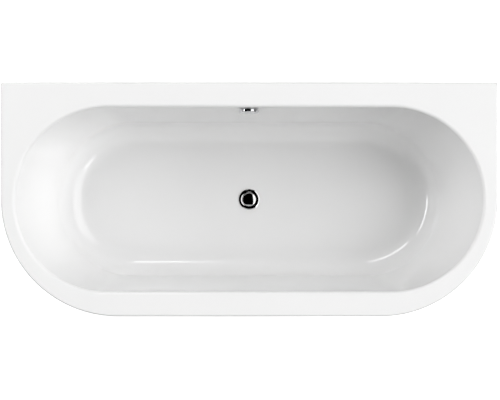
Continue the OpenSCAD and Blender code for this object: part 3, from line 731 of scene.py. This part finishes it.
def square_tube(length, w, t):
    """A welded square tube along X with rolled corners, open at both ends."""
    bm = bmesh.new()
    bmesh.ops.create_cube(bm, size=1, matrix=Matrix.Diagonal((length, w, w, 1)))
    caps = [f for f in bm.faces if abs(f.normal.x) > 0.5]
    bmesh.ops.delete(bm, geom=caps, context="FACES_ONLY")
    long_edges = [e for e in bm.edges if abs(e.verts[0].co.x - e.verts[1].co.x) > length / 2]
    bmesh.ops.bevel(bm, geom=long_edges, offset=2.2 * MM, segments=4, profile=0.5,
                    affect="EDGES", material=-1)
    bmesh.ops.recalc_face_normals(bm, faces=bm.faces)
    bmesh.ops.solidify(bm, geom=list(bm.faces), thickness=t)
    return bm


def weld_bead(start, end, r, seed):
    """A rippled bead of weld metal between two points."""
    start, end = Vector(start), Vector(end)
    count = max(6, int((end - start).length / (1.3 * MM)))
    bm = bmesh.new()
    for k in range(count):
        spot = start.lerp(end, (k + 0.5) / count)
        size = r * (1 + 0.14 * sin(k * 2.4 + seed))
        bmesh.ops.create_icosphere(bm, subdivisions=2, radius=size,
                                   matrix=Matrix.Translation(spot))
    return bm


def build_frame(steel):
    """Two rails between two crossbars, with a weld at each joint."""
    for node in ("front_frame_rail", "back_frame_rail", "left_crossbar", "right_crossbar"):
        low, high = (Vector(corner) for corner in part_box(node))
        along_y = high.y - low.y > high.x - low.x
        length = high.y - low.y if along_y else high.x - low.x
        bm = square_tube(length, TUBE_W, TUBE_T)
        turn = Matrix.Rotation(pi / 2, 4, "Z") if along_y else Matrix.Identity(4)
        bmesh.ops.transform(bm, matrix=Matrix.Translation((low + high) / 2) @ turn,
                            verts=bm.verts)
        piece = finish_piece(bm, node + "_tube", steel, node=node)
        crease_shading(piece, 35)
    rail_low, rail_high = (Vector(corner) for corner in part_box("back_frame_rail"))
    welds = bmesh.new()
    seed = 0
    for side_y in (-1, 1):
        middle_y = side_y * (rail_low.y + rail_high.y) / 2
        for x in (rail_low.x, rail_high.x):
            for y in (middle_y - TUBE_W / 2, middle_y + TUBE_W / 2):
                seed += 1
                join(welds, weld_bead((x, y, rail_low.z + 3 * MM), (x, y, rail_high.z - 3 * MM),
                                      1.5 * MM, seed))
            seed += 1
            join(welds, weld_bead((x, middle_y - 8 * MM, rail_low.z + 0.6 * MM),
                                  (x, middle_y + 8 * MM, rail_low.z + 0.6 * MM), 1.2 * MM, seed))
    finish_piece(welds, "frame_welds", steel)


# ---------------------------------------------------------------- pipework

def upright_to(axis):
    """Turns an upright part to lie along Y or X."""
    return Matrix.Rotation(-pi / 2, 4, "X") if axis == "Y" else Matrix.Rotation(pi / 2, 4, "Y")


def add_ribs(bm, count, r, low, high, width, depth):
    """A ring of raised grips round an upright part."""
    rib = bmesh.new()
    bmesh.ops.create_cube(rib, size=1, matrix=Matrix.Translation((r, 0, (low + high) / 2))
                          @ Matrix.Diagonal((depth, width, high - low, 1)))
    bmesh.ops.bevel(rib, geom=rib.edges[:], offset=0.25 * width, segments=2, profile=0.5,
                    affect="EDGES", material=-1)
    bmesh.ops.spin(rib, geom=rib.verts[:] + rib.edges[:] + rib.faces[:], cent=(0, 0, 0),
                   axis=(0, 0, 1), angle=2 * pi * (count - 1) / count, steps=count - 1,
                   use_merge=False, use_duplicate=True)
    join(bm, rib)


def grip_nut(node, material, outer, bore, axis="Z", grips=24, flip=False):
    """A moulded union nut: a plain lip, and a ring of grips inside the outer radius."""
    low, high = (Vector(corner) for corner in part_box(node))
    middle = (low + high) / 2
    height = {"Z": high.z - low.z, "Y": high.y - low.y}[axis]
    top, wall = height / 2, outer - 1.2 * MM
    bm = lathe([(bore, -top + 0.5 * MM), (bore + 0.5 * MM, -top), (wall - 1.5 * MM, -top),
                (wall - 0.4 * MM, -top + 0.5 * MM), (wall, -top + 1.6 * MM),
                (wall, top - 5 * MM), (wall - 0.8 * MM, top - 4.4 * MM),
                (wall - 0.8 * MM, top - 1 * MM), (wall - 1.6 * MM, top),
                (bore + 0.5 * MM, top), (bore, top - 0.5 * MM), (bore, -top + 0.5 * MM)],
               steps=72)
    add_ribs(bm, grips, wall + 0.1 * MM, -top + 1.6 * MM, top - 5.2 * MM, 2.2 * MM, 2.2 * MM)
    turn = upright_to(axis) if axis != "Z" else Matrix.Identity(4)
    if flip:
        turn = turn @ Matrix.Rotation(pi, 4, "X")
    bmesh.ops.transform(bm, matrix=Matrix.Translation(middle) @ turn, verts=bm.verts)
    piece = finish_piece(bm, node + "_moulded", material, node=node)
    crease_shading(piece, 30)
    return piece


def build_hose(material):
    """The ribbed overflow hose: a straight ribbed tube, laid along its drop and bend."""
    low, high = (Vector(corner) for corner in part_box("overflow_hose"))
    r, bend = 15 * MM, 60 * MM
    back_y, level_z = high.y - r, low.z + r
    drop = high.z - (level_z + bend)
    turn_length = bend * pi / 2
    total = drop + turn_length + (back_y - bend - low.y)
    pitch = 4.6 * MM
    ribs = int((total - 2 * 26 * MM) / pitch)
    start = (total - ribs * pitch) / 2
    profile = [(12 * MM, 0), (r - 0.4 * MM, 0), (r, 0.6 * MM), (r, start - 1 * MM)]
    for k in range(ribs):
        at = start + k * pitch
        profile += [(r - 1.7 * MM, at), (r - 1.7 * MM, at + 0.3 * pitch),
                    (r - 0.5 * MM, at + 0.45 * pitch), (r, at + 0.6 * pitch),
                    (r, at + 0.75 * pitch), (r - 0.6 * MM, at + 0.9 * pitch)]
    profile += [(r, start + ribs * pitch + 1 * MM), (r, total - 0.6 * MM),
                (r - 0.4 * MM, total)]
    profile += [(12 * MM, total * (1 - k / 90)) for k in range(91)]
    bm = lathe(profile, steps=40)
    for vert in bm.verts:
        along, out = vert.co.z, vert.co.y
        if along < drop:
            place_y, place_z = back_y + out, high.z - along
        elif along < drop + turn_length:
            angle = (along - drop) / bend
            reach_out = bend + out
            place_y = back_y - bend + reach_out * cos(angle)
            place_z = level_z + bend - reach_out * sin(angle)
        else:
            place_y, place_z = back_y - bend - (along - drop - turn_length), level_z - out
        vert.co = (vert.co.x + (low.x + high.x) / 2, place_y, place_z)
    hose = finish_piece(bm, "overflow_hose_ribbed", material, node="overflow_hose")
    crease_shading(hose, 50)
    return hose


def build_pipework(grey):
    grip_nut("upper_hose_nut", grey, 20 * MM, 15.1 * MM)
    grip_nut("lower_hose_nut", grey, 20 * MM, 15.1 * MM, axis="Y")
    grip_nut("trap_nut", grey, 30 * MM, 22.1 * MM, grips=32)
    grip_nut("outlet_nut", grey, 29 * MM, 20.1 * MM, axis="Y", grips=32, flip=True)


# ---------------------------------------------------------------- studio

def build_stage():
    """A plain pale floor under the tub."""
    bm = bmesh.new()
    bmesh.ops.create_grid(bm, x_segments=8, y_segments=8, size=FLOOR_REACH)
    mesh = bpy.data.meshes.new("studio floor")
    bm.to_mesh(mesh)
    bm.free()
    floor = bpy.data.objects.new("studio_floor", mesh)
    bpy.context.scene.collection.objects.link(floor)
    paint = new_material("pale studio floor", Roughness=0.9, Specular_IOR_Level=0.1)
    colour_from(paint, noise(paint, 0.8), [(0.3, (0.93, 0.93, 0.93)), (0.7, (0.95, 0.95, 0.95))])
    shader_of(paint).inputs["Emission Color"].default_value = (1, 1, 1, 1)
    shader_of(paint).inputs["Emission Strength"].default_value = FLOOR_GLOW
    mesh.materials.append(paint)
    floor.visible_diffuse = floor.visible_glossy = False


def soft_light(name, azimuth, elevation, width, height, radiance, mirrored=False):
    """A flat light that faces the tub; azimuth 0 is +X and 90 is the wall side, in degrees.

    Fill lights give the even light, and mirrored ones only the bright shapes in the gloss.
    """
    data = bpy.data.lights.new(name, "AREA")
    data.shape = "RECTANGLE"
    data.size = width
    data.size_y = height
    data.energy = radiance * pi * width * height
    light = bpy.data.objects.new(name, data)
    bpy.context.scene.collection.objects.link(light)
    aim = Vector((0, 0, 0.35))
    away = Vector((cos(radians(azimuth)) * cos(radians(elevation)),
                   sin(radians(azimuth)) * cos(radians(elevation)), sin(radians(elevation))))
    light.location = aim + away * LIGHT_DISTANCE
    light.rotation_euler = away.to_track_quat("Z", "Y").to_euler()
    light.visible_camera = False
    light.visible_glossy = mirrored
    light.visible_diffuse = not mirrored
    return light


def build_studio():
    for azimuth, radiance in LOW_BOXES:
        soft_light("low softbox %d" % azimuth, azimuth, *LOW_BOX, radiance)
    for azimuth, radiance in HIGH_BOXES:
        soft_light("high softbox %d" % azimuth, azimuth, *HIGH_BOX, radiance)
    for name, azimuth, elevation, width, height, radiance in PANELS:
        soft_light(name, azimuth, elevation, width, height, radiance, mirrored=True)
    world = bpy.data.worlds.new("soft surround")
    bpy.context.scene.world = world
    world.use_nodes = True
    world.node_tree.nodes["Background"].inputs["Color"].default_value = (1, 1, 1, 1)
    world.node_tree.nodes["Background"].inputs["Strength"].default_value = SURROUND
    world.cycles_visibility.glossy = False


def build_camera():
    """Straight down over the middle of the tub, its length filling the frame's width."""
    data = bpy.data.cameras.new("camera")
    data.lens = 150
    data.sensor_width = 36
    camera = bpy.data.objects.new("camera", data)
    bpy.context.scene.collection.objects.link(camera)
    frame_width = 2 * HALF_L * 1.0059
    camera.location = (2.7 * MM, -2.1 * MM, RIM_Z + frame_width * data.lens / data.sensor_width)
    bpy.context.scene.camera = camera
    bpy.context.scene.view_settings.view_transform = "Standard"


LIGHT_DISTANCE = 16.0
# Each softbox's elevation in degrees, width and height
LOW_BOX = (22, 8.3, 6.4)
HIGH_BOX = (50, 10.4, 8.0)
# Where they stand, as (azimuth in degrees, radiance): 0 is +X and 90 is the wall side
LOW_BOXES = [(0, 8.4), (135, 1.95), (180, 5.0), (225, 0.3)]
HIGH_BOXES = [(0, 5.2), (120, 4.85), (240, 1.25), (300, 1.2)]
# Mirrored ones, as (name, azimuth, elevation, width, height, radiance)
PANELS = [("key panel", 5, 50, 16.5, 10.5, 1.4), ("left strip", 165, 28, 9.5, 1.8, 7.0),
          ("wall strip", 113, 40, 9.5, 1.8, 7.0), ("patch panel", 318, 50, 3.2, 3.2, 2.4),
          ("front panel", 268, 43, 14.0, 10.0, 0.65)]
SURROUND = 0.03
FLOOR_GLOW = 0.45
FLOOR_REACH = 14  # from the middle to the floor's edge

build_camera()
build_stage()
build_studio()

ACRYLIC = white_acrylic()
GLASS_FIBRE = glass_fibre()
CHROME = chrome()
GALVANISED = galvanised_steel()
BRIGHT_ZINC = plated_steel("bright zinc plating", (0.50, 0.52, 0.55), (0.68, 0.70, 0.73))
SATIN_STEEL = plated_steel("satin steel", (0.46, 0.47, 0.48), (0.60, 0.61, 0.62), (0.3, 0.42))
YELLOW_ZINC = yellow_zinc()
WHITE_PLASTIC = moulded_plastic("white polypropylene", (0.70, 0.70, 0.68), (0.80, 0.80, 0.78),
                                subsurface=0.15)
GREY_PLASTIC = moulded_plastic("grey polypropylene", (0.075, 0.08, 0.085), (0.11, 0.115, 0.12))
PIPE_PLASTIC = moulded_plastic("grey waste pipe", (0.22, 0.23, 0.24), (0.29, 0.30, 0.31),
                               (0.3, 0.42))
HOSE_PLASTIC = moulded_plastic("grey hose", (0.33, 0.34, 0.35), (0.42, 0.43, 0.44), (0.38, 0.5))
BLACK_PLASTIC = moulded_plastic("black nylon", (0.012, 0.012, 0.013), (0.03, 0.03, 0.032))
CABLE_JACKET = moulded_plastic("black cable jacket", (0.01, 0.01, 0.012), (0.02, 0.02, 0.022),
                               (0.25, 0.4), 400.0)
BOND = rubber("adhesive bead", (0.52, 0.52, 0.50), (0.62, 0.62, 0.60))
SEAL_RUBBER = rubber("black seal rubber", (0.012, 0.012, 0.012), (0.04, 0.04, 0.04))
SOLE_RUBBER = rubber("dark sole rubber", (0.02, 0.02, 0.02), (0.06, 0.06, 0.06))

build_shell(ACRYLIC, GLASS_FIBRE)
build_apron(ACRYLIC, GLASS_FIBRE)
build_waste_flange(CHROME)
build_plug(CHROME)
build_knob(CHROME)
build_feet(BRIGHT_ZINC, BLACK_PLASTIC, SOLE_RUBBER)
build_frame(GALVANISED)
build_hose(HOSE_PLASTIC)
build_pipework(GREY_PLASTIC)

# ---------------------------------------------------------------- finishes of the other parts

FINISHES = {
    "adhesive": BOND, "glass_fibre": GLASS_FIBRE, "chipboard": chipboard(), "timber": softwood(),
    "frame_steel": GALVANISED, "yellow_zinc": YELLOW_ZINC, "bright_zinc": BRIGHT_ZINC,
    "satin_steel": SATIN_STEEL, "chrome": CHROME, "white_plastic": WHITE_PLASTIC,
    "grey_plastic": GREY_PLASTIC, "pipe_plastic": PIPE_PLASTIC, "hose_plastic": HOSE_PLASTIC,
    "black_plastic": BLACK_PLASTIC, "seal_rubber": SEAL_RUBBER, "sole_rubber": SOLE_RUBBER,
    "cable_jacket": CABLE_JACKET, "acrylic": ACRYLIC}
for name, part in frame["nodes"].items():
    for slot in part.material_slots:
        slot.material = FINISHES[SLOT_OF[name]]
